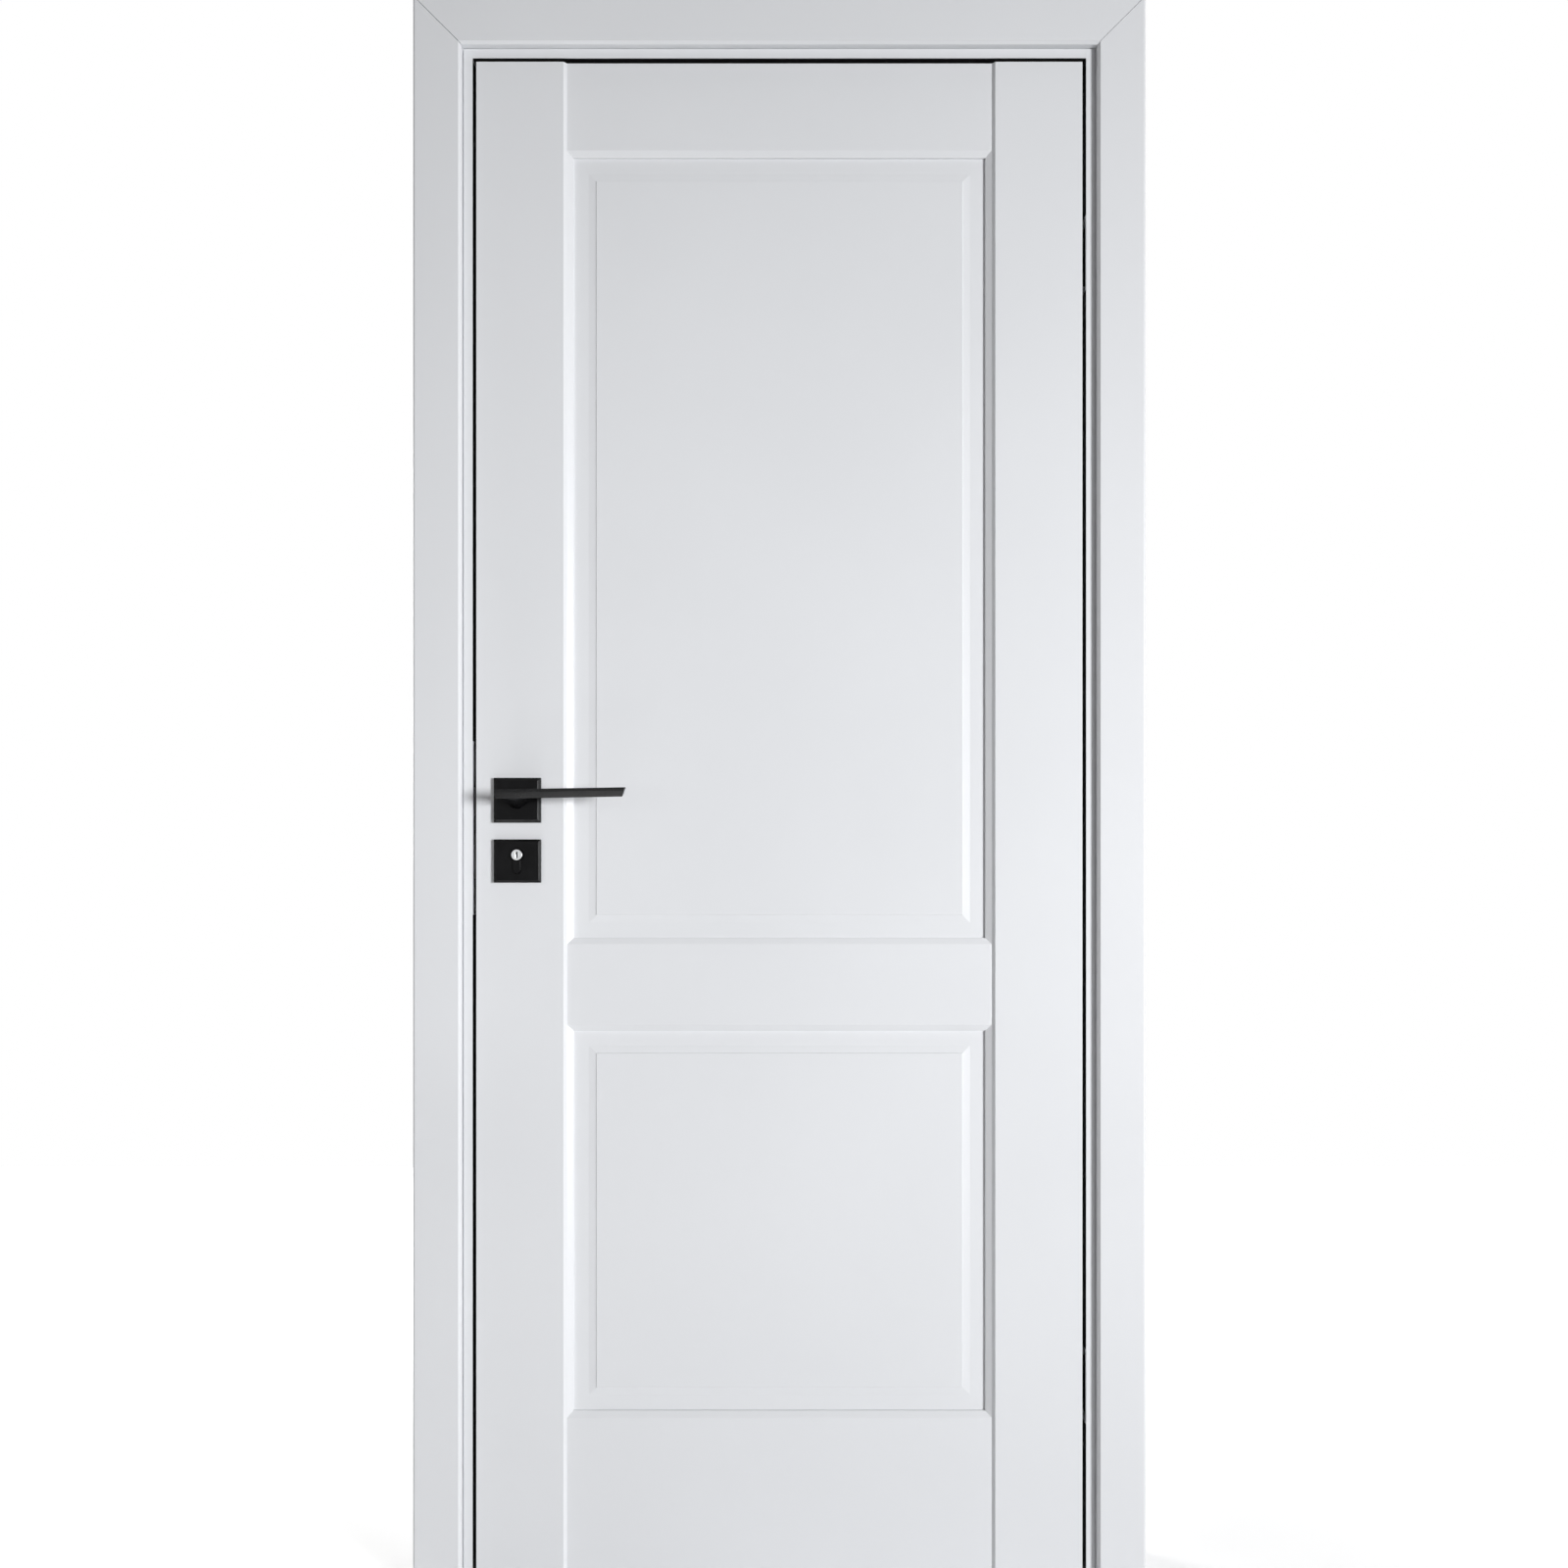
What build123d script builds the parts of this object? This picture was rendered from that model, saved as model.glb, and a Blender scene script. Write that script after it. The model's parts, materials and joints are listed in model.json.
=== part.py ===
from build123d import *
import math
import os

# Interior door in its frame: two-panel leaf, black lever set, concealed hinges. Millimetres.
# Origin on the outer wall face of the hinge jamb, at floor level and at mid depth of the wall.
# +X points to the hinge side, +Y to the back (the side the leaf closes against), +Z up.

# Leaf
leaf_width = 800.0
leaf_height = 2000.0
leaf_thick = 40.0
floor_gap = 6.0
edge_gap = 5.0
latch_edge_bevel_deg = 2.0

# Stiles and rails
stile_face = 115.0
stile_step = 4.0
rail_setback = 4.0
rail_bevel = 8.0
bevel_lip = 3.5
top_rail_height = 123.0
middle_rail_height = 123.0
middle_rail_centre = 782.0
bottom_rail_height = 217.0

# Raised panels
panel_thick = 16.0
panel_groove = 10.0
panel_play = 1.0
margin_width = 20.0
field_bevel = 10.0
field_rise = 1.2
field_step = 1.0

# Frame
jamb_thick = 40.0
jamb_depth = 100.0
stop_proud = 15.0
stop_gap = 8.0
jamb_reveal = 13.0
architrave_width = 63.0
architrave_thick = 12.0
architrave_round = 3.0
architrave_bevel = 3.5
mitre_gap = 0.9
quirk_width = 1.5
quirk_depth = 2.5
seal_inset = 2.0
seal_width = 30.0
seal_thick = 3.0

# Concealed hinges
hinge_end_distance = 250.0
case_front = 6.0
case_width = 28.0
case_wall = 2.0
case_end = 14.0
case_corner = 8.0
corner_relief = 0.3
frame_case_depth = 24.0
leaf_case_depth = 44.0
leaf_case_floor = 3.0
arm_height = 70.0
arm_length = 53.0
arm_half_width = 3.5
arm_eye_radius = 5.5
arm_pin_radius = 3.0
arm_pin_depth = 12.0
arm_pin_back = 25.2
pin_clearance = 0.08
running_gap = 0.3

# Lever set
backset = 55.0
spindle_height = 1025.0
spindle_side = 8.0
spindle_hole_radius = 9.0
rosette_width = 62.0
rosette_height = 59.0
rosette_thick = 8.0
rosette_bevel = 4.0
rosette_slope = 2.4
collar_radius = 11.0
collar_seat = 1.0
lever_heel = 21.5
lever_reach = 147.0
lever_back = 44.0
lever_ridge = 12.0
lever_top_depth = 8.0
lever_foot_depth = 5.0
lever_root_top = 11.0
lever_root_bottom = -1.0
lever_tip_top = 13.8
lever_tip_bottom = 1.9
lever_ridge_drop = 4.0
lever_back_chamfer = 2.0
lever_tip_slant = 4.5
neck_half_width = 21.5
neck_half_height = 5.5
neck_shift = 0.9
neck_sink = 1.0

# Lock
lock_spacing = 72.0
key_plate_width = 62.0
key_plate_height = 57.0
key_plate_thick = 7.0
key_plate_bevel = 3.0
key_plate_slope = 1.8
cylinder_radius = 8.5
cylinder_height = 33.0
cylinder_tab = 10.0
cylinder_proud = 3.0
plug_radius = 7.0
plug_depth = 8.0
plug_proud = 0.8
plug_gap = 0.05
keyway_width = 2.2
keyway_height = 8.5
keyway_depth = 5.0
faceplate_width = 20.0
faceplate_height = 230.0
faceplate_thick = 3.0
faceplate_corner = 9.8
faceplate_drop = 36.0
bolt_width = 13.0
bolt_gap = 0.3
bolt_depth = 28.0
latch_bolt_height = 32.0
dead_bolt_height = 40.0
strike_width = 24.0
strike_thick = 2.0
strike_margin = 3.0
strike_pocket = 18.0

# Places worked out from the sizes above
hinge_wall = -jamb_thick
leaf_right = hinge_wall - edge_gap
leaf_left = leaf_right - leaf_width
latch_wall = leaf_left - edge_gap
latch_outer = latch_wall - jamb_thick
front = -jamb_depth / 2
back = jamb_depth / 2
leaf_back = front + leaf_thick
leaf_middle = front + leaf_thick / 2
stop_face = leaf_back + stop_gap
leaf_bottom = floor_gap
leaf_top = leaf_bottom + leaf_height
head_wall = leaf_top + edge_gap
head_outer = head_wall + jamb_thick
stile_width = stile_face + stile_step + rail_bevel
panel_depth = (leaf_thick - panel_thick) / 2
bevel_depth = panel_depth - bevel_lip
left_foot = leaf_left + stile_width
right_foot = leaf_right - stile_width
top_foot = leaf_top - top_rail_height
middle_top_foot = leaf_bottom + middle_rail_centre + middle_rail_height / 2
middle_bottom_foot = leaf_bottom + middle_rail_centre - middle_rail_height / 2
bottom_foot = leaf_bottom + bottom_rail_height
hinge_places = {
    "upper": leaf_top - hinge_end_distance,
    "lower": leaf_bottom + hinge_end_distance,
}
pocket_height = arm_height + 2 * running_gap
case_height = pocket_height + 2 * case_end
mortise_corner = case_corner - corner_relief
spindle_x = leaf_left + backset
spindle_z = leaf_bottom + spindle_height
cylinder_z = spindle_z - lock_spacing
key_plate_z = cylinder_z + cylinder_radius - cylinder_height / 2
faceplate_z = spindle_z - faceplate_drop
bolt_places = {"latch_bolt": spindle_z, "dead_bolt": cylinder_z - cylinder_radius}
bolt_heights = {"latch_bolt": latch_bolt_height, "dead_bolt": dead_bolt_height}
parts = {}


def block(x0, x1, y0, y1, z0, z1):
    """Box between two corners."""
    box = Box(x1 - x0, y1 - y0, z1 - z0)
    return Pos((x0 + x1) / 2, (y0 + y1) / 2, (z0 + z1) / 2) * box


def prism(points, direction):
    """Polygon of points in space, pushed along a direction by its length."""
    way = Vector(*direction)
    face = make_face(Polyline(*points, close=True))
    return extrude(face, amount=way.length, dir=way.normalized())


def facing_front(x, z, out):
    """Plane that looks out of the leaf's front, a distance out from its face, with Z up in it."""
    return Plane(origin=(x, front - out, z), x_dir=(1, 0, 0), z_dir=(0, -1, 0))


def on_back(shape):
    """The same piece on the leaf's other side."""
    return mirror(shape, about=Plane(origin=(0, leaf_middle, 0), z_dir=(0, 1, 0)))


def stile_section(edge_x, inward, back_shift):
    """Outline of a stile, stepped and bevelled on both faces towards the panels, grooved for them."""
    face_x = edge_x + inward * stile_face
    step_x = face_x + inward * stile_step
    foot_x = edge_x + inward * stile_width
    groove_x = foot_x - inward * panel_groove
    return [
        (edge_x, front, leaf_bottom),
        (face_x, front, leaf_bottom),
        (step_x, front + rail_setback, leaf_bottom),
        (foot_x, front + bevel_depth, leaf_bottom),
        (foot_x, front + panel_depth, leaf_bottom),
        (groove_x, front + panel_depth, leaf_bottom),
        (groove_x, leaf_back - panel_depth, leaf_bottom),
        (foot_x, leaf_back - panel_depth, leaf_bottom),
        (foot_x, leaf_back - bevel_depth, leaf_bottom),
        (step_x, leaf_back - rail_setback, leaf_bottom),
        (face_x, leaf_back, leaf_bottom),
        (edge_x + inward * back_shift, leaf_back, leaf_bottom),
    ]


def rail_side(foot, inward):
    """Front-to-back points of a rail's panel side: bevel, lip and groove, then the same again."""
    face = foot + inward * rail_bevel
    groove = foot + inward * panel_groove
    return [
        (front + rail_setback, face),
        (front + bevel_depth, foot),
        (front + panel_depth, foot),
        (front + panel_depth, groove),
        (leaf_back - panel_depth, groove),
        (leaf_back - panel_depth, foot),
        (leaf_back - bevel_depth, foot),
        (leaf_back - rail_setback, face),
    ]


def rail_plain_side(z):
    """Front-to-back points of a rail's square outer side."""
    return [(front + rail_setback, z), (leaf_back - rail_setback, z)]


def rail(lower, upper, stiles):
    """Rail between the stiles, coped to their bevels, with stub tenons in their grooves."""
    start = left_foot - panel_groove
    outline = lower + upper[::-1]
    bar = prism([(start, y, z) for y, z in outline], (right_foot + panel_groove - start, 0, 0))
    for stile in stiles:
        bar = bar - stile
    return bar


def panel(low_foot, high_foot):
    """Panel held in the grooves, with a raised and stepped field on both faces."""
    reach = panel_groove - panel_play
    core = block(
        left_foot - reach,
        right_foot + reach,
        front + panel_depth,
        leaf_back - panel_depth,
        low_foot - reach,
        high_foot + reach,
    )
    centre_x = (left_foot + right_foot) / 2
    centre_z = (low_foot + high_foot) / 2
    foot_width = right_foot - left_foot - 2 * margin_width
    foot_height = high_foot - low_foot - 2 * margin_width
    top_width = foot_width - 2 * field_bevel
    top_height = foot_height - 2 * field_bevel
    foot_plane = facing_front(centre_x, centre_z, -panel_depth)
    rise_plane = facing_front(centre_x, centre_z, field_rise - panel_depth)
    slope = loft(
        [foot_plane * Rectangle(foot_width, foot_height), rise_plane * Rectangle(top_width, top_height)],
        ruled=True,
    )
    step = extrude(rise_plane * Rectangle(top_width, top_height), amount=field_step)
    field = slope + step
    return core + field + on_back(field)


def edge_plate(side_x, inward, y, z, width, height, depth, corner):
    """Plate or room with rounded corners, let in from an edge at side_x."""
    plane = Plane(origin=(side_x, y, z), x_dir=(0, 1, 0), z_dir=(inward, 0, 0))
    return extrude(plane * RectangleRounded(width, height, corner), amount=depth)


def hinge_mortise(z, side_x, inward, depth, corner):
    """Body of a hinge case, let into an edge at side_x."""
    middle = front + case_front + case_width / 2
    return edge_plate(side_x, inward, middle, z, case_width, case_height, depth, corner)


def hinge_case(z, side_x, inward, depth, floor):
    """Hinge case: a block with a pocket that opens on the edge."""
    far = side_x + inward * (depth - floor)
    pocket = block(
        min(side_x, far),
        max(side_x, far),
        front + case_front + case_wall,
        front + case_front + case_width - case_wall,
        z - pocket_height / 2,
        z + pocket_height / 2,
    )
    return hinge_mortise(z, side_x, inward, depth, case_corner) - pocket


def hinge_arm(z):
    """Arm that turns on the frame pin and reaches into the leaf's case."""
    eye_x = hinge_wall + arm_pin_depth
    eye_y = front + arm_pin_back
    bottom = z - arm_height / 2
    base = Plane(origin=(eye_x, eye_y, bottom))
    bar = Pos(-arm_length / 2, 0) * Rectangle(arm_length, 2 * arm_half_width)
    outline = bar + Circle(arm_eye_radius) + Pos(-arm_length, 0) * Circle(arm_half_width)
    outline = outline - Circle(arm_pin_radius + pin_clearance)
    return extrude(base * outline, amount=arm_height)


def hinge_pin(z):
    """Pin through the frame case, from its lower to its upper end."""
    place = Pos(hinge_wall + arm_pin_depth, front + arm_pin_back, z)
    return place * Cylinder(arm_pin_radius, pocket_height)


def show_edges(bar, long_axis, across, inner, show_y, reach):
    """Long edges of an architrave on its show side, the one next to the jamb first."""
    edges = [edge for edge in bar.edges().filter_by(long_axis) if abs(edge.center().Y - show_y) < reach]
    return sorted(edges, key=lambda edge: abs(across(edge.center()) - inner))


def architrave_edges(bar, long_axis, across, inner, show_y):
    """Bevel on the show edge next to the jamb and a round on the outer one."""
    place = (long_axis, across, inner, show_y, architrave_bevel / 2)
    bar = chamfer(show_edges(bar, *place)[0], architrave_bevel)
    return fillet(show_edges(bar, *place)[-1], architrave_round)


def architrave_side(inner, outward, y0, show_y):
    """Upright architrave, mitred at the top."""
    outer = inner + outward * architrave_width
    inner_top = head_wall + jamb_reveal - mitre_gap
    outline = [
        (inner, y0, 0),
        (outer, y0, 0),
        (outer, y0, inner_top + architrave_width),
        (inner, y0, inner_top),
    ]
    bar = prism(outline, (0, architrave_thick, 0))
    return architrave_edges(bar, Axis.Z, lambda spot: spot.X, inner, show_y)


def architrave_head(y0, show_y):
    """Head architrave, mitred at both ends."""
    left_inner = latch_wall - jamb_reveal
    right_inner = hinge_wall + jamb_reveal
    inner_top = head_wall + jamb_reveal
    outline = [
        (left_inner, y0, inner_top),
        (right_inner, y0, inner_top),
        (right_inner + architrave_width, y0, inner_top + architrave_width),
        (left_inner - architrave_width, y0, inner_top + architrave_width),
    ]
    bar = prism(outline, (0, architrave_thick, 0))
    return architrave_edges(bar, Axis.X, lambda spot: spot.Z, inner_top, show_y)


def with_quirk(jamb):
    """Jamb with a fine groove along the architrave's inner edge, on both faces of the wall."""
    left = latch_wall - jamb_reveal
    right = hinge_wall + jamb_reveal
    top = head_wall + jamb_reveal
    for y0, y1 in ((front, front + quirk_depth), (back - quirk_depth, back)):
        jamb = jamb - block(left, left + quirk_width, y0, y1, 0, top)
        jamb = jamb - block(right - quirk_width, right, y0, y1, 0, top)
        jamb = jamb - block(left, right, y0, y1, top - quirk_width, top)
    return jamb


def upright_seal(wall, inward, breaks):
    """Black sealing strip let flush into a jamb's rebate wall, interrupted at the hardware."""
    levels = [0.0] + [level for pair in sorted(breaks) for level in pair] + [head_wall]
    strips = []
    for low, high in zip(levels[0::2], levels[1::2]):
        deep = wall + inward * seal_thick
        y0 = front + seal_inset
        strips.append(block(min(wall, deep), max(wall, deep), y0, y0 + seal_width, low, high))
    return strips


def euro_profile(gap):
    """Outline of a profile cylinder: round above, narrow rounded tab below."""
    tab_length = cylinder_height - cylinder_radius - cylinder_tab / 2
    tab = Pos(0, -tab_length / 2) * Rectangle(cylinder_tab + 2 * gap, tab_length)
    tab_end = Pos(0, -tab_length) * Circle(cylinder_tab / 2 + gap)
    return Circle(cylinder_radius + gap) + tab + tab_end


def bevelled_plate(x, z, width, height, thick, bevel, slope, hole):
    """Square cover plate on the leaf's front with sloping edges and one hole."""
    rim = thick - slope
    body = extrude(facing_front(x, z, 0) * Rectangle(width, height), amount=rim)
    outer = facing_front(x, z, rim) * Rectangle(width, height)
    inner = facing_front(x, z, thick) * Rectangle(width - 2 * bevel, height - 2 * bevel)
    return body + loft([outer, inner], ruled=True) - hole


def lever_section(p_top, p_bottom, top, bottom):
    """Five-sided section of the lever blade, with a ridge along its front."""
    points = [
        (lever_back, bottom + lever_back_chamfer),
        (lever_back, top),
        (lever_back + lever_top_depth, top),
        (lever_back + lever_ridge, top - lever_ridge_drop),
        (lever_back + lever_foot_depth, bottom),
    ]
    corners = []
    for out, up in points:
        share = (top - up) / (top - bottom)
        along = p_top + share * (p_bottom - p_top)
        corners.append((spindle_x + along, front - out, spindle_z + up))
    return make_face(Polyline(*corners, close=True))


def lever():
    """Front lever: round collar, lofted neck and ridged blade."""
    root = lever_section(-lever_heel, -lever_heel, lever_root_top, lever_root_bottom)
    tip = lever_section(lever_reach, lever_reach - lever_tip_slant, lever_tip_top, lever_tip_bottom)
    blade = loft([root, tip], ruled=True)
    collar_plane = facing_front(spindle_x, spindle_z, collar_seat)
    collar = extrude(collar_plane * Circle(collar_radius), amount=rosette_thick - collar_seat)
    low_plane = facing_front(spindle_x, spindle_z, rosette_thick)
    neck_z = spindle_z + (lever_root_top + lever_root_bottom) / 2
    high_plane = facing_front(spindle_x + neck_shift, neck_z, lever_back + neck_sink)
    neck_end = high_plane * Ellipse(neck_half_width, neck_half_height)
    neck = loft([low_plane * Circle(collar_radius), neck_end])
    return collar + neck + blade


def bolt_block(name, start, length, gap):
    """Room or body of a bolt, from start along +X."""
    half_width = bolt_width / 2 + gap
    half_height = bolt_heights[name] / 2 + gap
    low = bolt_places[name] - half_height
    high = bolt_places[name] + half_height
    return block(start, start + length, leaf_middle - half_width, leaf_middle + half_width, low, high)


# Leaf woodwork
latch_shift = leaf_thick * math.tan(math.radians(latch_edge_bevel_deg))
latch_stile = prism(stile_section(leaf_left, 1, latch_shift), (0, 0, leaf_height))
hinge_stile = prism(stile_section(leaf_right, -1, 0), (0, 0, leaf_height))
both_stiles = [latch_stile, hinge_stile]
parts["top_rail"] = rail(rail_side(top_foot, 1), rail_plain_side(leaf_top), both_stiles)
parts["middle_rail"] = rail(rail_side(middle_bottom_foot, 1), rail_side(middle_top_foot, -1), both_stiles)
parts["bottom_rail"] = rail(rail_plain_side(leaf_bottom), rail_side(bottom_foot, -1), both_stiles)
parts["upper_panel"] = panel(middle_top_foot, top_foot)
parts["lower_panel"] = panel(bottom_foot, middle_bottom_foot)

# Lock: face plate and bolts in the latch edge, flush, with the bolts drawn in
plate_edge = leaf_left + (leaf_thick + faceplate_width) / 2 * math.tan(math.radians(latch_edge_bevel_deg))
faceplate_sizes = (faceplate_width, faceplate_height, faceplate_thick)
faceplate = edge_plate(plate_edge, 1, leaf_middle, faceplate_z, *faceplate_sizes, faceplate_corner)
room_depth = plate_edge + faceplate_thick - leaf_left
room_sizes = (faceplate_width, faceplate_height, room_depth)
room_corner = faceplate_corner - corner_relief
faceplate_room = edge_plate(leaf_left, 1, leaf_middle, faceplate_z, *room_sizes, room_corner)
latch_stile = latch_stile - faceplate_room
for bolt_name in bolt_places:
    parts[bolt_name] = bolt_block(bolt_name, plate_edge, bolt_depth, 0)
    room = bolt_block(bolt_name, plate_edge, bolt_depth + bolt_gap, bolt_gap)
    faceplate = faceplate - room
    latch_stile = latch_stile - room
parts["lock_faceplate"] = faceplate

# Cylinder, its plugs and the key plates
cylinder_out = key_plate_thick + cylinder_proud
cylinder_length = leaf_thick + 2 * cylinder_out
cylinder_plane = facing_front(spindle_x, cylinder_z, cylinder_out)
cylinder = extrude(cylinder_plane * euro_profile(0), amount=-cylinder_length)
plug_bore = extrude(cylinder_plane * Circle(plug_radius + plug_gap), amount=-plug_depth)
cylinder = cylinder - plug_bore - on_back(plug_bore)
parts["lock_cylinder"] = cylinder
plug_plane = facing_front(spindle_x, cylinder_z, cylinder_out + plug_proud)
plug = extrude(plug_plane * Circle(plug_radius), amount=-(plug_depth + plug_proud))
plug = plug - extrude(plug_plane * Rectangle(keyway_width, keyway_height), amount=-keyway_depth)
parts["front_cylinder_plug"] = plug
parts["back_cylinder_plug"] = on_back(plug)
cylinder_hole = extrude(cylinder_plane * euro_profile(running_gap), amount=-cylinder_length)
key_plate_slopes = (key_plate_thick, key_plate_bevel, key_plate_slope)
front_key_plate = bevelled_plate(
    spindle_x, key_plate_z, key_plate_width, key_plate_height, *key_plate_slopes, cylinder_hole
)
parts["front_key_plate"] = front_key_plate
parts["back_key_plate"] = on_back(front_key_plate)

# Rosettes and lever set
collar_hole = extrude(
    facing_front(spindle_x, spindle_z, 0) * Circle(collar_radius + running_gap),
    amount=rosette_thick,
)
rosette_slopes = (rosette_thick, rosette_bevel, rosette_slope)
front_rosette = bevelled_plate(
    spindle_x, spindle_z, rosette_width, rosette_height, *rosette_slopes, collar_hole
)
parts["front_rosette"] = front_rosette
parts["back_rosette"] = on_back(front_rosette)
parts["front_lever"] = lever()
parts["back_lever"] = on_back(parts["front_lever"])
parts["spindle"] = block(
    spindle_x - spindle_side / 2,
    spindle_x + spindle_side / 2,
    front - collar_seat,
    leaf_back + collar_seat,
    spindle_z - spindle_side / 2,
    spindle_z + spindle_side / 2,
)
spindle_plane = facing_front(spindle_x, spindle_z, 0)
spindle_hole = extrude(spindle_plane * Circle(spindle_hole_radius), amount=-leaf_thick)
latch_stile = latch_stile - spindle_hole - cylinder_hole

# Jambs
hinge_jamb = block(hinge_wall, 0, front, back, 0, head_outer)
latch_jamb = block(latch_outer, latch_wall, front, back, 0, head_outer)
head_jamb = block(latch_wall, hinge_wall, front, back, head_wall, head_outer)

# Concealed hinges
for place, level in hinge_places.items():
    hinge_jamb = hinge_jamb - hinge_mortise(level, hinge_wall, 1, frame_case_depth, mortise_corner)
    hinge_stile = hinge_stile - hinge_mortise(level, leaf_right, -1, leaf_case_depth, mortise_corner)
    parts[place + "_hinge_frame_case"] = hinge_case(level, hinge_wall, 1, frame_case_depth, case_wall)
    parts[place + "_hinge_leaf_case"] = hinge_case(level, leaf_right, -1, leaf_case_depth, leaf_case_floor)
    parts[place + "_hinge_arm"] = hinge_arm(level)
    parts[place + "_hinge_pin"] = hinge_pin(level)
parts["latch_stile"] = latch_stile
parts["hinge_stile"] = hinge_stile

# Strike plate in the latch jamb, opposite the face plate
strike_height = faceplate_height
strike_low = faceplate_z - strike_height / 2
strike_high = faceplate_z + strike_height / 2
strike_sizes = (strike_width, strike_height, strike_thick)
strike = edge_plate(latch_wall, -1, leaf_middle, faceplate_z, *strike_sizes, faceplate_corner)
strike_seat = edge_plate(latch_wall, -1, leaf_middle, faceplate_z, *strike_sizes, room_corner)
latch_jamb = latch_jamb - strike_seat
for bolt_name in bolt_places:
    strike_room = bolt_block(bolt_name, latch_wall - strike_pocket, strike_pocket, strike_margin)
    strike = strike - strike_room
    latch_jamb = latch_jamb - strike_room
parts["strike_plate"] = strike

# Seals in the rebate walls
hinge_breaks = [(z - case_height / 2, z + case_height / 2) for z in hinge_places.values()]
hinge_seal = upright_seal(hinge_wall, 1, hinge_breaks)
latch_seal = upright_seal(latch_wall, -1, [(strike_low, strike_high)])
head_seal = [
    block(
        latch_wall,
        hinge_wall,
        front + seal_inset,
        front + seal_inset + seal_width,
        head_wall,
        head_wall + seal_thick,
    )
]
for strip in hinge_seal:
    hinge_jamb = hinge_jamb - strip
for strip in latch_seal:
    latch_jamb = latch_jamb - strip
head_jamb = head_jamb - head_seal[0]
parts["hinge_seal"] = Compound(children=hinge_seal)
parts["latch_seal"] = Compound(children=latch_seal)
parts["head_seal"] = head_seal[0]
parts["hinge_jamb"] = with_quirk(hinge_jamb)
parts["latch_jamb"] = with_quirk(latch_jamb)
parts["head_jamb"] = with_quirk(head_jamb)

# Stops that the leaf closes towards
parts["hinge_stop"] = block(hinge_wall - stop_proud, hinge_wall, stop_face, back, 0, head_wall)
parts["latch_stop"] = block(latch_wall, latch_wall + stop_proud, stop_face, back, 0, head_wall)
parts["head_stop"] = block(
    latch_wall + stop_proud, hinge_wall - stop_proud, stop_face, back, head_wall - stop_proud, head_wall
)

# Architraves on both faces of the wall
faces = {
    "front": (front - architrave_thick, front - architrave_thick),
    "back": (back, back + architrave_thick),
}
for side_name, (y0, show_y) in faces.items():
    parts[side_name + "_architrave_latch"] = architrave_side(latch_wall - jamb_reveal, -1, y0, show_y)
    parts[side_name + "_architrave_hinge"] = architrave_side(hinge_wall + jamb_reveal, 1, y0, show_y)
    parts[side_name + "_architrave_head"] = architrave_head(y0, show_y)

os.makedirs("parts", exist_ok=True)
for name, shape in parts.items():
    export_step(shape, "parts/" + name + ".step")
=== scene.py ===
import json
import math

import bmesh
import bpy
from mathutils import Matrix, Vector


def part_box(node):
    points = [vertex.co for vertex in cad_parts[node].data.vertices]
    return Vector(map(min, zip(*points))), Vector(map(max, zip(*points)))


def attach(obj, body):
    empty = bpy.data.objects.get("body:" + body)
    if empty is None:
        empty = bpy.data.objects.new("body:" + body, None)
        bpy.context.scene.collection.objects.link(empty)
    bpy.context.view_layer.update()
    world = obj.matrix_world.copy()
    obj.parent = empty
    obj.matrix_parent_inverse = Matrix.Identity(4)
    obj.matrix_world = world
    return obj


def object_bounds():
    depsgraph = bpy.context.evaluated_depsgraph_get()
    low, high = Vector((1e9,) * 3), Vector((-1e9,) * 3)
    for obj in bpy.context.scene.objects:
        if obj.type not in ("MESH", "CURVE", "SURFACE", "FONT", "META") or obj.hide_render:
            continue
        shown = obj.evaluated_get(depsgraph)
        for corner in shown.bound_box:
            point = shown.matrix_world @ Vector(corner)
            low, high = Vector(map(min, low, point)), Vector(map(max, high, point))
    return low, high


# Looks of a white panelled interior door with black hardware. Metres, in the part's own frame.

# Framing of the photograph: a straight-on view with its principal point below the middle.
# The left and the top edge of the leaf tie its pixels to the part.
IMAGE_SIDE = 1600
PRINCIPAL_X = 796
PRINCIPAL_Y = 914
LEAF_LEFT_PIXEL = 486
LEAF_TOP_PIXEL = 63
METRES_PER_PIXEL = 0.0012934
CAMERA_DISTANCE = 2.0
SENSOR_WIDTH = 36.0

# Soft square lamps: a cool one from the right, a weak one from the left, two for the far side, one overhead.
# Each has its place, the point it is aimed at, its size, power, beam and colour.
WIDE_BEAM = math.radians(180)
KEY_BEAM = math.radians(58)
LAMPS = (
    ("key", (3.9, -5.1, 1.1), (-0.22, 0, 0.98), 1.5, 46.0, KEY_BEAM, (0.975, 0.985, 1.0)),
    ("front", (-1.75, -1.35, 1.10), (-0.45, 0, 1.0), 0.6, 1.6, WIDE_BEAM, (1.0, 0.98, 0.96)),
    ("back_key", (-2.4, 2.0, 1.6), (-0.45, 0, 1.0), 1.2, 47.0, WIDE_BEAM, (1.0, 0.99, 0.98)),
    ("back_soft", (0.9, 2.3, 1.2), (-0.45, 0, 1.0), 1.2, 15.0, WIDE_BEAM, (0.97, 0.985, 1.0)),
    ("over", (-0.45, -0.1, 4.3), (-0.45, -0.1, 0), 1.8, 22.0, WIDE_BEAM, (1.0, 1.0, 1.0)),
)

# Small low spot lamp that lights the under edges of the hardware
GLINT_PLACE = (-0.98, -0.62, 0.06)
GLINT_POWER = 1.8
GLINT_RADIUS = 0.06
GLINT_CONE = math.radians(34)

# Narrow lamp near the floor that looks straight up past the front lever. Its reach is measured in X from the
# middle of the lever, and in Y from the lever's front.
UNDER_REACH_X = -0.09
UNDER_REACH_Y = -0.24
UNDER_HEIGHT = 0.02
UNDER_SIZE = 0.30
UNDER_POWER = 0.22
UNDER_BEAM = math.radians(30)
UNDER_COLOUR = (1.0, 1.0, 1.0)

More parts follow.
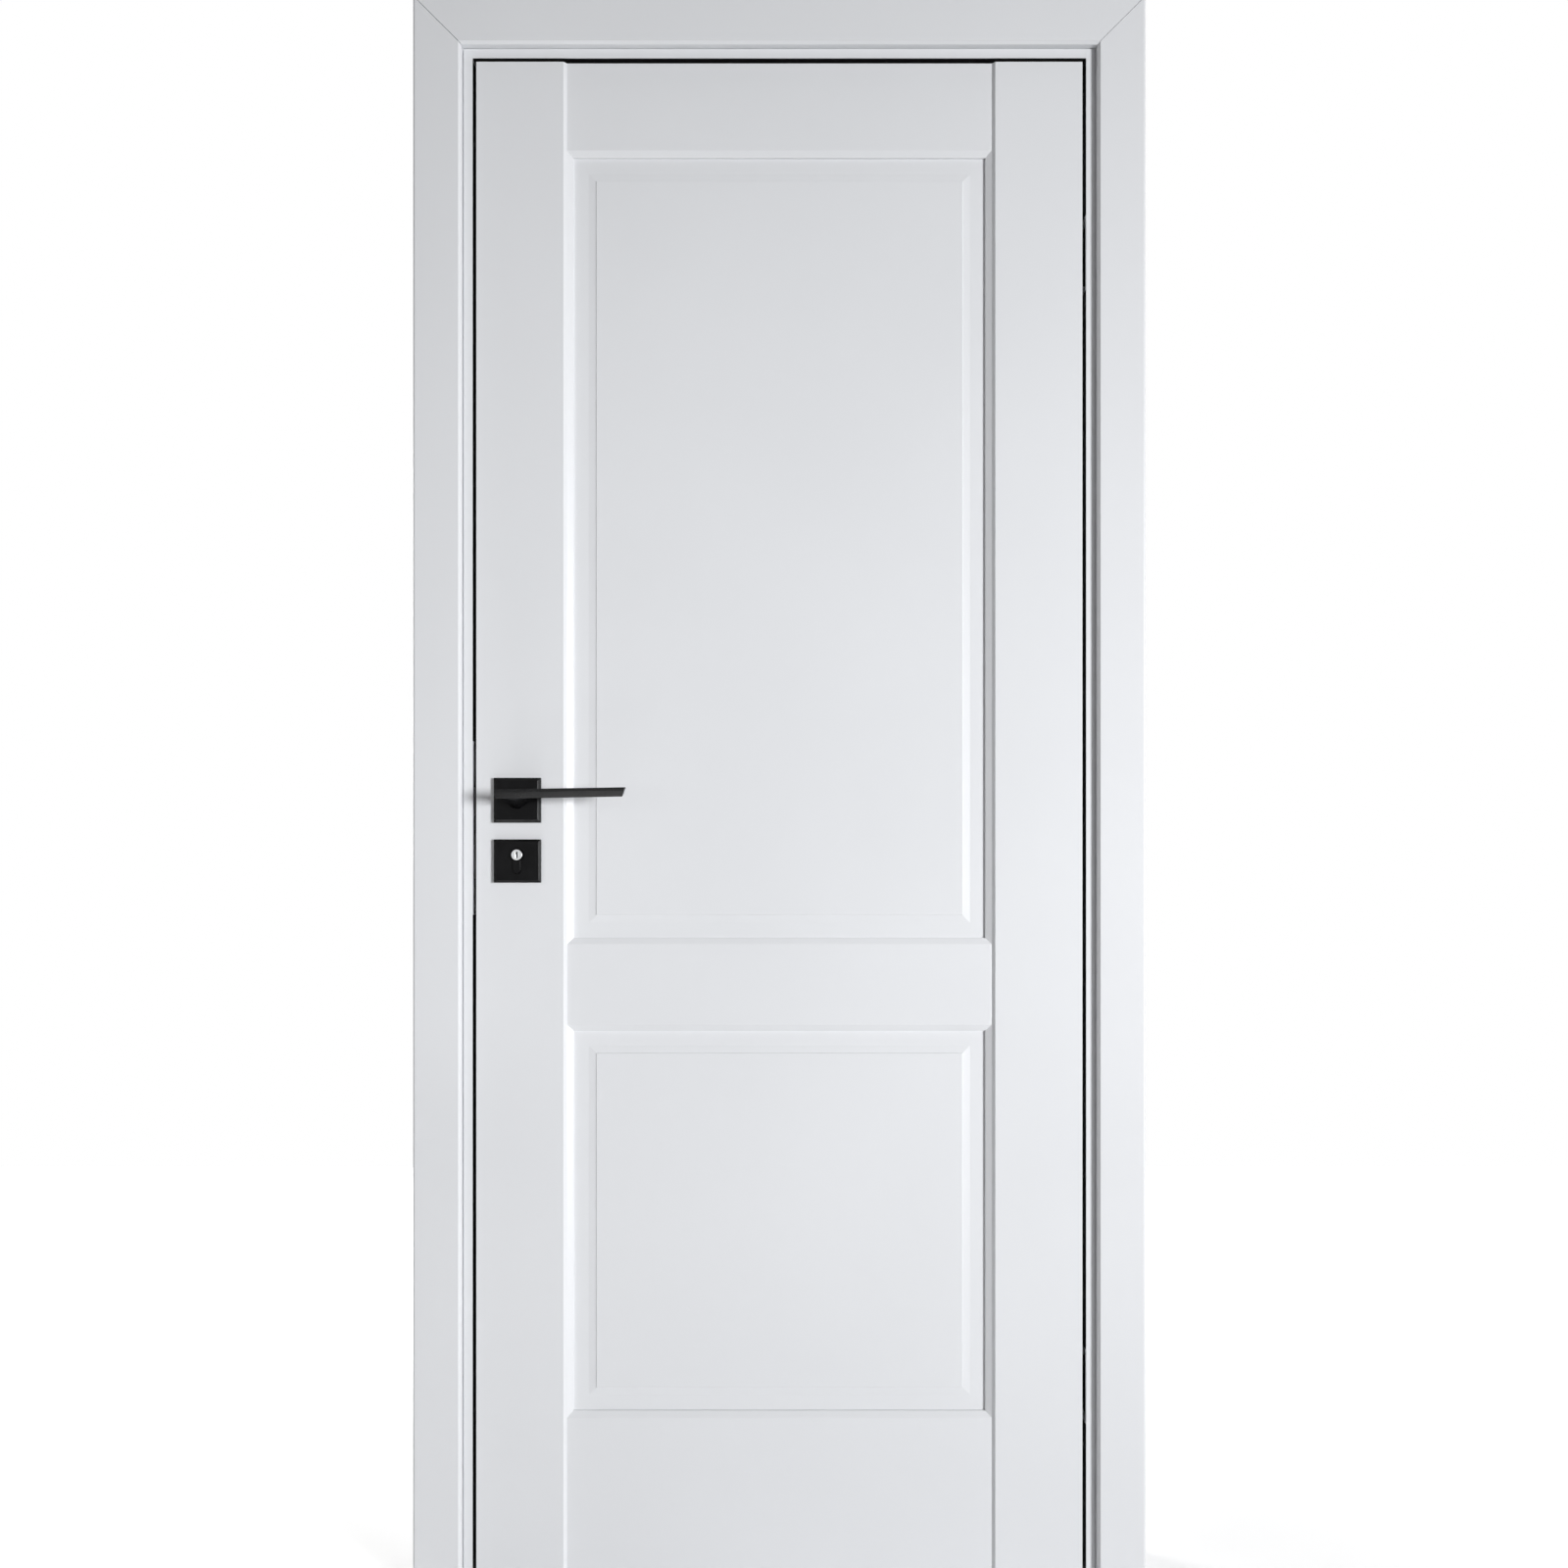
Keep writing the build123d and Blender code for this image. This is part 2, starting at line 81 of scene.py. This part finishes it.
# World and floor. The floor's glow rises to white between two distances from its middle.
WHITE = (1.0, 1.0, 1.0, 1.0)
WHITE_STRENGTH = 1.0
AMBIENT_STRENGTH = 0.06
FLOOR_HALF = 3.0
FLOOR_COLOUR = (0.86, 0.86, 0.86)
FLOOR_GRAIN_SCALE = 6.0
FLOOR_GRAIN_SHADE = 0.99
FLOOR_ROUGHNESS = 0.9
FLOOR_SPECULAR = 0.1
FLOOR_GLOW = 0.50
FLOOR_FADE_START = 0.6
FLOOR_FADE_END = 2.0

# Textures. Scales are per metre and bump heights in metres. A noise stays mostly between its low and high
# values, so colours and roughness are spread over that stretch.
NOISE_LOW = 0.3
NOISE_HIGH = 0.7
SMOOTH_DETAIL = 2.0
MEDIUM_DETAIL = 3.0
FINE_DETAIL = 4.0

# Satin white lacquer
LACQUER_DARK = (0.775, 0.783, 0.800)
LACQUER_PALE = (0.800, 0.808, 0.825)
LACQUER_ROUGHNESS = (0.34, 0.37)
LACQUER_CLOUD_SCALE = 2.5
LACQUER_SHEEN_SCALE = 35.0
LACQUER_PEEL_SCALE = 420.0
LACQUER_PEEL_STRENGTH = 0.04
LACQUER_PEEL_HEIGHT = 0.0003

# Black powder coat
COAT_DARK = (0.003, 0.003, 0.0034)
COAT_PALE = (0.006, 0.006, 0.0065)
COAT_ROUGHNESS = (0.18, 0.25)
COAT_SPECULAR = 0.10
COAT_TONE_SCALE = 60.0
COAT_GRAIN_SCALE = 2600.0
COAT_GRAIN_STRENGTH = 0.12
COAT_GRAIN_HEIGHT = 0.0001

# Turned metal of the cylinder ends. The key slot gets painted shade, a dark colour from its shade depth
# inwards.
TURNED_DARK = (0.54, 0.55, 0.56)
TURNED_PALE = (0.68, 0.69, 0.70)
TURNED_ROUGHNESS = (0.16, 0.26)
TURNED_RING_SCALE = 900.0
TURNED_RING_DISTORTION = 0.4
TURNED_RING_STRENGTH = 0.10
TURNED_RING_HEIGHT = 0.00005
KEYWAY_PAINTED_SHADE = (0.012, 0.012, 0.012, 1.0)
KEYWAY_SHADE_DEPTH = 0.0006

# Brushed steel, with its marks drawn out along Z
STEEL_DARK = (0.34, 0.34, 0.35)
STEEL_PALE = (0.50, 0.50, 0.51)
STEEL_ROUGHNESS = (0.32, 0.50)
STEEL_MARK_STRETCH = (3000.0, 3000.0, 60.0)
STEEL_MARK_SCALE = 1.0
STEEL_MARK_STRENGTH = 0.10
STEEL_MARK_HEIGHT = 0.00005

# Ribbed black rubber
SEAL_DARK = (0.006, 0.006, 0.006)
SEAL_PALE = (0.011, 0.011, 0.011)
SEAL_ROUGHNESS = (0.62, 0.80)
SEAL_SPECULAR = 0.10
SEAL_TONE_SCALE = 90.0
SEAL_RIB_SCALE = 110.0
SEAL_RIB_STRENGTH = 0.5
SEAL_RIB_HEIGHT = 0.0004

# Rounded edges: larger on the lacquered wood than on the hardware and seals
WOOD_EDGE = 0.0006
FINE_EDGE = 0.00035
EDGE_SEGMENTS = 2
EDGE_ANGLE = math.radians(25)
WELD_DISTANCE = 0.000002
FLAT_ANGLE = math.radians(0.2)
FACE_WEIGHT = 100

# Screws. The side and end powers set how steeply the cross recess falls.
SCREW_RADIUS = 0.0038
SCREW_RINGS = 10
SCREW_SPOKES = 48
SCREW_DOME = 0.0004
SCREW_DEPTH = 0.0016
SCREW_CROSS_WIDTH = 0.0006
SCREW_CROSS_LENGTH = 0.0023
SCREW_CROSS_DEPTH = 0.0012
SCREW_SIDE_POWER = 4
SCREW_END_POWER = 6
PLATE_SCREW_INSET = 0.009

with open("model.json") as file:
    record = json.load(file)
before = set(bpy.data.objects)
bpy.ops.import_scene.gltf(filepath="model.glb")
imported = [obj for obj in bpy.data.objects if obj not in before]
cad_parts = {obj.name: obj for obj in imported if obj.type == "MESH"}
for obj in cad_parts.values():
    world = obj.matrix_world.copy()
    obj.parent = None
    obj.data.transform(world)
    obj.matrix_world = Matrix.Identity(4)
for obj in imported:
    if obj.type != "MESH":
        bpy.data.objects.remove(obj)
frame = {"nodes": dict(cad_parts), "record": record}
nodes = frame["nodes"]
cad_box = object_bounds()
scene = bpy.context.scene


def add_object(name, data):
    """Object in the scene's own collection."""
    obj = bpy.data.objects.new(name, data)
    scene.collection.objects.link(obj)
    return obj


def point_at(obj, target):
    """Turns a lamp from its place to a target."""
    obj.rotation_euler = (Vector(target) - obj.location).to_track_quat("-Z", "Y").to_euler()


def link_values(tree, pairs):
    """Joins sockets two by two."""
    for source, target in pairs:
        tree.links.new(source, target)


def new_material(name):
    """Material with a principled shader, and the coordinates that ride with the piece."""
    material = bpy.data.materials.new(name)
    material.use_nodes = True
    tree = material.node_tree
    shader = tree.nodes["Principled BSDF"]
    place = tree.nodes.new("ShaderNodeTexCoord").outputs["Object"]
    return material, tree, shader, place


def noise(tree, place, scale, detail=SMOOTH_DETAIL):
    """Noise of a scale per metre."""
    node = tree.nodes.new("ShaderNodeTexNoise")
    node.inputs["Scale"].default_value = scale
    node.inputs["Detail"].default_value = detail
    tree.links.new(place, node.inputs["Vector"])
    return node.outputs["Fac"]


def ramp(tree, factor, dark, pale):
    """Colour between two shades."""
    node = tree.nodes.new("ShaderNodeValToRGB")
    first, last = node.color_ramp.elements
    first.position = NOISE_LOW
    last.position = NOISE_HIGH
    first.color = (*dark, 1)
    last.color = (*pale, 1)
    tree.links.new(factor, node.inputs["Fac"])
    return node.outputs["Color"]


def spread(tree, factor, limits):
    """Number between two limits."""
    node = tree.nodes.new("ShaderNodeMapRange")
    node.inputs["From Min"].default_value = NOISE_LOW
    node.inputs["From Max"].default_value = NOISE_HIGH
    node.inputs["To Min"].default_value = limits[0]
    node.inputs["To Max"].default_value = limits[1]
    tree.links.new(factor, node.inputs["Value"])
    return node.outputs["Result"]


def bump(tree, texture, strength, height):
    """Normal bumped by a texture."""
    node = tree.nodes.new("ShaderNodeBump")
    node.inputs["Strength"].default_value = strength
    node.inputs["Distance"].default_value = height
    tree.links.new(texture, node.inputs["Height"])
    return node.outputs["Normal"]


def mapped(tree, place, location=(0, 0, 0), scale=(1, 1, 1)):
    """Coordinates that are scaled, then moved."""
    node = tree.nodes.new("ShaderNodeMapping")
    node.inputs["Location"].default_value = location
    node.inputs["Scale"].default_value = scale
    tree.links.new(place, node.inputs["Vector"])
    return node.outputs["Vector"]


def math_node(tree, operation):
    """Node that does one operation on numbers."""
    node = tree.nodes.new("ShaderNodeMath")
    node.operation = operation
    return node


def lacquer():
    """Satin white lacquer: faint cloudiness, uneven sheen and orange peel."""
    material, tree, shader, place = new_material("white_lacquer")
    cloud = noise(tree, place, LACQUER_CLOUD_SCALE)
    sheen = noise(tree, place, LACQUER_SHEEN_SCALE, FINE_DETAIL)
    peel = noise(tree, place, LACQUER_PEEL_SCALE)
    link_values(tree, [
        (ramp(tree, cloud, LACQUER_DARK, LACQUER_PALE), shader.inputs["Base Color"]),
        (spread(tree, sheen, LACQUER_ROUGHNESS), shader.inputs["Roughness"]),
        (bump(tree, peel, LACQUER_PEEL_STRENGTH, LACQUER_PEEL_HEIGHT), shader.inputs["Normal"]),
    ])
    return material


def black_coat():
    """Black powder coat with its fine grain."""
    material, tree, shader, place = new_material("black_hardware")
    tone = noise(tree, place, COAT_TONE_SCALE, MEDIUM_DETAIL)
    grain = noise(tree, place, COAT_GRAIN_SCALE)
    shader.inputs["Specular IOR Level"].default_value = COAT_SPECULAR
    link_values(tree, [
        (ramp(tree, tone, COAT_DARK, COAT_PALE), shader.inputs["Base Color"]),
        (spread(tree, tone, COAT_ROUGHNESS), shader.inputs["Roughness"]),
        (bump(tree, grain, COAT_GRAIN_STRENGTH, COAT_GRAIN_HEIGHT), shader.inputs["Normal"]),
    ])
    return material


def turned_metal(name, centre, half_depth):
    """Bright metal with fine turning rings round a centre, and painted shade in the key slot, deeper than
    its faces.
    """
    material, tree, shader, place = new_material(name)
    from_centre = mapped(tree, place, location=(-centre[0], -centre[1], -centre[2]))
    wave = tree.nodes.new("ShaderNodeTexWave")
    wave.wave_type = "RINGS"
    wave.rings_direction = "Y"
    wave.inputs["Scale"].default_value = TURNED_RING_SCALE
    wave.inputs["Distortion"].default_value = TURNED_RING_DISTORTION
    rings = wave.outputs["Fac"]
    # Painted shade: deeper than the plug faces, the key slot is given a dark colour in place of the shade in
    # the recess.
    apart = tree.nodes.new("ShaderNodeSeparateXYZ")
    away = math_node(tree, "ABSOLUTE")
    in_painted_shade = math_node(tree, "LESS_THAN")
    in_painted_shade.inputs[1].default_value = half_depth - KEYWAY_SHADE_DEPTH
    mix = tree.nodes.new("ShaderNodeMix")
    mix.data_type = "RGBA"
    mix.inputs["B"].default_value = KEYWAY_PAINTED_SHADE
    shader.inputs["Metallic"].default_value = 1.0
    link_values(tree, [
        (from_centre, wave.inputs["Vector"]),
        (from_centre, apart.inputs["Vector"]),
        (apart.outputs["Y"], away.inputs[0]),
        (away.outputs["Value"], in_painted_shade.inputs[0]),
        (in_painted_shade.outputs["Value"], mix.inputs["Factor"]),
        (ramp(tree, rings, TURNED_DARK, TURNED_PALE), mix.inputs["A"]),
        (mix.outputs["Result"], shader.inputs["Base Color"]),
        (spread(tree, rings, TURNED_ROUGHNESS), shader.inputs["Roughness"]),
        (bump(tree, rings, TURNED_RING_STRENGTH, TURNED_RING_HEIGHT), shader.inputs["Normal"]),
    ])
    return material


def brushed_steel():
    """Satin steel with brush marks along Z."""
    material, tree, shader, place = new_material("bare_steel")
    drawn_out = mapped(tree, place, scale=STEEL_MARK_STRETCH)
    marks = noise(tree, drawn_out, STEEL_MARK_SCALE, MEDIUM_DETAIL)
    shader.inputs["Metallic"].default_value = 1.0
    link_values(tree, [
        (ramp(tree, marks, STEEL_DARK, STEEL_PALE), shader.inputs["Base Color"]),
        (spread(tree, marks, STEEL_ROUGHNESS), shader.inputs["Roughness"]),
        (bump(tree, marks, STEEL_MARK_STRENGTH, STEEL_MARK_HEIGHT), shader.inputs["Normal"]),
    ])
    return material


def seal_rubber():
    """Black ribbed rubber of the sealing strips."""
    material, tree, shader, place = new_material("black_seal")
    tone = noise(tree, place, SEAL_TONE_SCALE, MEDIUM_DETAIL)
    shader.inputs["Specular IOR Level"].default_value = SEAL_SPECULAR
    wave = tree.nodes.new("ShaderNodeTexWave")
    wave.bands_direction = "Y"
    wave.inputs["Scale"].default_value = SEAL_RIB_SCALE
    ribs = wave.outputs["Fac"]
    link_values(tree, [
        (place, wave.inputs["Vector"]),
        (ramp(tree, tone, SEAL_DARK, SEAL_PALE), shader.inputs["Base Color"]),
        (spread(tree, tone, SEAL_ROUGHNESS), shader.inputs["Roughness"]),
        (bump(tree, ribs, SEAL_RIB_STRENGTH, SEAL_RIB_HEIGHT), shader.inputs["Normal"]),
    ])
    return material


def soften_edges(obj, width, merge_flat):
    """Rounds a node's hard edges with modifiers, which leave its mesh as it is."""
    weld = obj.modifiers.new("weld", "WELD")
    weld.merge_threshold = WELD_DISTANCE
    if merge_flat:
        merge = obj.modifiers.new("merge", "DECIMATE")
        merge.decimate_type = "DISSOLVE"
        merge.angle_limit = FLAT_ANGLE
    bevel = obj.modifiers.new("edge", "BEVEL")
    bevel.width = width
    bevel.segments = EDGE_SEGMENTS
    bevel.limit_method = "ANGLE"
    bevel.angle_limit = EDGE_ANGLE
    flat = obj.modifiers.new("flat", "WEIGHTED_NORMAL")
    flat.weight = FACE_WEIGHT
    flat.keep_sharp = True


def finish_nodes(finishes):
    """Gives each node the finish of its slot in the record, and its small rounds."""
    for part in frame["record"]["subparts"]:
        node = nodes[part["node"]]
        node.data.materials.clear()
        node.data.materials.append(finishes[part["material_slot"]])
        lacquered = part["material_slot"] == "white_lacquer"
        soften_edges(node, WOOD_EDGE if lacquered else FINE_EDGE, not lacquered)


def screw_height(x, y):
    """Height of the screw head's face: a low dome with a cross recess."""
    across = min(abs(x), abs(y)) / SCREW_CROSS_WIDTH
    along = max(abs(x), abs(y)) / SCREW_CROSS_LENGTH
    recess = max(0.0, 1 - across ** SCREW_SIDE_POWER) * max(0.0, 1 - along ** SCREW_END_POWER)
    dome = 1 - (math.hypot(x, y) / SCREW_RADIUS) ** 2
    return SCREW_DOME * dome - SCREW_CROSS_DEPTH * recess


def screw(name, place, normal, body, material):
    """Low domed screw head with a cross recess, let into a plate at place, facing normal."""
    mesh = bmesh.new()
    rings = []
    for ring in range(SCREW_RINGS + 1):
        radius = SCREW_RADIUS * ring / SCREW_RINGS
        row = []
        for spoke in range(SCREW_SPOKES if ring else 1):
            angle = 2 * math.pi * spoke / SCREW_SPOKES
            x = radius * math.cos(angle)
            y = radius * math.sin(angle)
            row.append(mesh.verts.new((x, y, screw_height(x, y))))
        rings.append(row)
    rings.append([mesh.verts.new((vert.co.x, vert.co.y, -SCREW_DEPTH)) for vert in rings[-1]])
    for spoke in range(SCREW_SPOKES):
        after = (spoke + 1) % SCREW_SPOKES
        mesh.faces.new((rings[0][0], rings[1][spoke], rings[1][after]))
        for inner, outer in zip(rings[1:], rings[2:]):
            mesh.faces.new((inner[spoke], outer[spoke], outer[after], inner[after]))
    mesh.faces.new(reversed(rings[-1]))
    for face in mesh.faces:
        face.smooth = True
    data = bpy.data.meshes.new(name)
    mesh.to_mesh(data)
    mesh.free()
    data.materials.append(material)
    obj = add_object(name, data)
    turn = Vector((0, 0, 1)).rotation_difference(Vector(normal)).to_matrix().to_4x4()
    obj.matrix_world = Matrix.Translation(place) @ turn
    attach(obj, body)


def screw_pair(name, box, side, levels, body, material):
    """Lower and upper screw in the face of a box that looks along X, to the right where side is positive."""
    low, high = box
    face_x = high[0] if side > 0 else low[0]
    middle_y = (low[1] + high[1]) / 2
    for end, level in zip(("lower", "upper"), levels):
        screw(name + "_screw_" + end, (face_x, middle_y, level), (side, 0, 0), body, material)


def plate_screws(material):
    """Screws near the ends of the face plate and the strike plate."""
    for plate, side, body in (("lock_faceplate", -1, "leaf"), ("strike_plate", 1, "frame")):
        low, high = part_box(plate)
        levels = (low[2] + PLATE_SCREW_INSET, high[2] - PLATE_SCREW_INSET)
        screw_pair(plate, (low, high), side, levels, body, material)


def hinge_screws(material):
    """Screws in the hinge cases, midway between the ends of the case and of the arm."""
    for hinge in ("upper", "lower"):
        arm_low, arm_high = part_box(hinge + "_hinge_arm")
        for case, side, body in (("leaf_case", 1, "leaf"), ("frame_case", -1, "frame")):
            low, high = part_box(hinge + "_hinge_" + case)
            levels = ((low[2] + arm_low[2]) / 2, (high[2] + arm_high[2]) / 2)
            screw_pair(hinge + "_" + case, (low, high), side, levels, body, material)


def area_lamp(name, place, aim, size, power, beam, colour):
    """Soft square lamp turned to a point."""
    lamp = bpy.data.lights.new(name, "AREA")
    lamp.size = size
    lamp.energy = power
    lamp.spread = beam
    lamp.color = colour
    obj = add_object(name, lamp)
    obj.location = place
    point_at(obj, aim)


def glint_lamp():
    """Small low lamp that lights the under edges of the hardware."""
    lamp = bpy.data.lights.new("glint", "SPOT")
    lamp.energy = GLINT_POWER
    lamp.shadow_soft_size = GLINT_RADIUS
    lamp.spot_size = GLINT_CONE
    lamp.spot_blend = 1.0
    obj = add_object("glint", lamp)
    obj.location = GLINT_PLACE
    low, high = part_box("front_rosette")
    point_at(obj, (low + high) / 2)


def under_lamp():
    """Narrow lamp near the floor that lights the front lever from below."""
    low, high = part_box("front_lever")
    x = (low[0] + high[0]) / 2 + UNDER_REACH_X
    y = low[1] + UNDER_REACH_Y
    place = (x, y, UNDER_HEIGHT)
    straight_up = (x, y, low[2])
    area_lamp("under", place, straight_up, UNDER_SIZE, UNDER_POWER, UNDER_BEAM, UNDER_COLOUR)


def background_ray(tree):
    """1 for a ray that sees the background: from the camera, a mirror or glass."""
    path = tree.nodes.new("ShaderNodeLightPath")
    first = math_node(tree, "MAXIMUM")
    second = math_node(tree, "MAXIMUM")
    link_values(tree, [
        (path.outputs["Is Camera Ray"], first.inputs[0]),
        (path.outputs["Is Glossy Ray"], first.inputs[1]),
        (first.outputs["Value"], second.inputs[0]),
        (path.outputs["Is Transmission Ray"], second.inputs[1]),
    ])
    return second.outputs["Value"]


def make_world():
    """White to look at, and much weaker as light."""
    world = bpy.data.worlds.new("studio")
    scene.world = world
    world.use_nodes = True
    tree = world.node_tree
    background = tree.nodes["Background"]
    background.inputs["Color"].default_value = WHITE
    strength = tree.nodes.new("ShaderNodeMapRange")
    strength.inputs["To Min"].default_value = AMBIENT_STRENGTH
    strength.inputs["To Max"].default_value = WHITE_STRENGTH
    link_values(tree, [
        (background_ray(tree), strength.inputs["Value"]),
        (strength.outputs["Result"], background.inputs["Strength"]),
    ])


def floor_finish():
    """Pale matt floor that keeps the shadow, and fades to the white of the world away from the part."""
    material, tree, shader, place = new_material("floor")
    grain = noise(tree, place, FLOOR_GRAIN_SCALE)
    grain_colour = tuple(value * FLOOR_GRAIN_SHADE for value in FLOOR_COLOUR)
    shader.inputs["Roughness"].default_value = FLOOR_ROUGHNESS
    shader.inputs["Specular IOR Level"].default_value = FLOOR_SPECULAR
    shader.inputs["Emission Color"].default_value = WHITE
    away = tree.nodes.new("ShaderNodeVectorMath")
    away.operation = "LENGTH"
    fade = tree.nodes.new("ShaderNodeMapRange")
    fade.interpolation_type = "SMOOTHSTEP"
    fade.inputs["From Min"].default_value = FLOOR_FADE_START
    fade.inputs["From Max"].default_value = FLOOR_FADE_END
    fade.inputs["To Min"].default_value = FLOOR_GLOW
    fade.inputs["To Max"].default_value = WHITE_STRENGTH
    glow = math_node(tree, "MULTIPLY")
    link_values(tree, [
        (ramp(tree, grain, grain_colour, FLOOR_COLOUR), shader.inputs["Base Color"]),
        (place, away.inputs[0]),
        (away.outputs["Value"], fade.inputs["Value"]),
        (background_ray(tree), glow.inputs[0]),
        (fade.outputs["Result"], glow.inputs[1]),
        (glow.outputs["Value"], shader.inputs["Emission Strength"]),
    ])
    return material


def make_floor():
    """Flat floor with its middle under the part."""
    mesh = bmesh.new()
    bmesh.ops.create_grid(mesh, x_segments=1, y_segments=1, size=FLOOR_HALF)
    data = bpy.data.meshes.new("floor")
    mesh.to_mesh(data)
    mesh.free()
    data.materials.append(floor_finish())
    floor = add_object("floor", data)
    floor.location = ((cad_box[0][0] + cad_box[1][0]) / 2, 0, 0)


def make_camera():
    """Camera at the photograph's place: level, square to the leaf, framed by a small shift."""
    low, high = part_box("latch_stile")
    leaf_left = low[0]
    leaf_front = low[1]
    leaf_top = high[2]
    data = bpy.data.cameras.new("camera")
    data.sensor_width = SENSOR_WIDTH
    data.lens = SENSOR_WIDTH * CAMERA_DISTANCE / (IMAGE_SIDE * METRES_PER_PIXEL)
    data.shift_x = (IMAGE_SIDE / 2 - PRINCIPAL_X) / IMAGE_SIDE
    data.shift_y = (PRINCIPAL_Y - IMAGE_SIDE / 2) / IMAGE_SIDE
    camera = add_object("camera", data)
    camera.location = (
        leaf_left + (PRINCIPAL_X - LEAF_LEFT_PIXEL) * METRES_PER_PIXEL,
        leaf_front - CAMERA_DISTANCE,
        leaf_top - (PRINCIPAL_Y - LEAF_TOP_PIXEL) * METRES_PER_PIXEL,
    )
    camera.rotation_euler = (math.radians(90), 0, 0)
    scene.camera = camera


# The turning rings run round the axis of the two cylinder ends
plug_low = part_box("front_cylinder_plug")[0]
plug_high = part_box("back_cylinder_plug")[1]
plug_centre = (plug_low + plug_high) / 2
plug_half_depth = (plug_high[1] - plug_low[1]) / 2
finishes = {
    "white_lacquer": lacquer(),
    "black_hardware": black_coat(),
    "bare_steel": brushed_steel(),
    "cylinder_chrome": turned_metal("cylinder_chrome", plug_centre, plug_half_depth),
    "black_seal": seal_rubber(),
}
finish_nodes(finishes)
plate_screws(finishes["bare_steel"])
hinge_screws(finishes["bare_steel"])

for lamp in LAMPS:
    area_lamp(*lamp)
glint_lamp()
under_lamp()
make_world()
make_floor()
make_camera()
scene.view_settings.view_transform = "Standard"
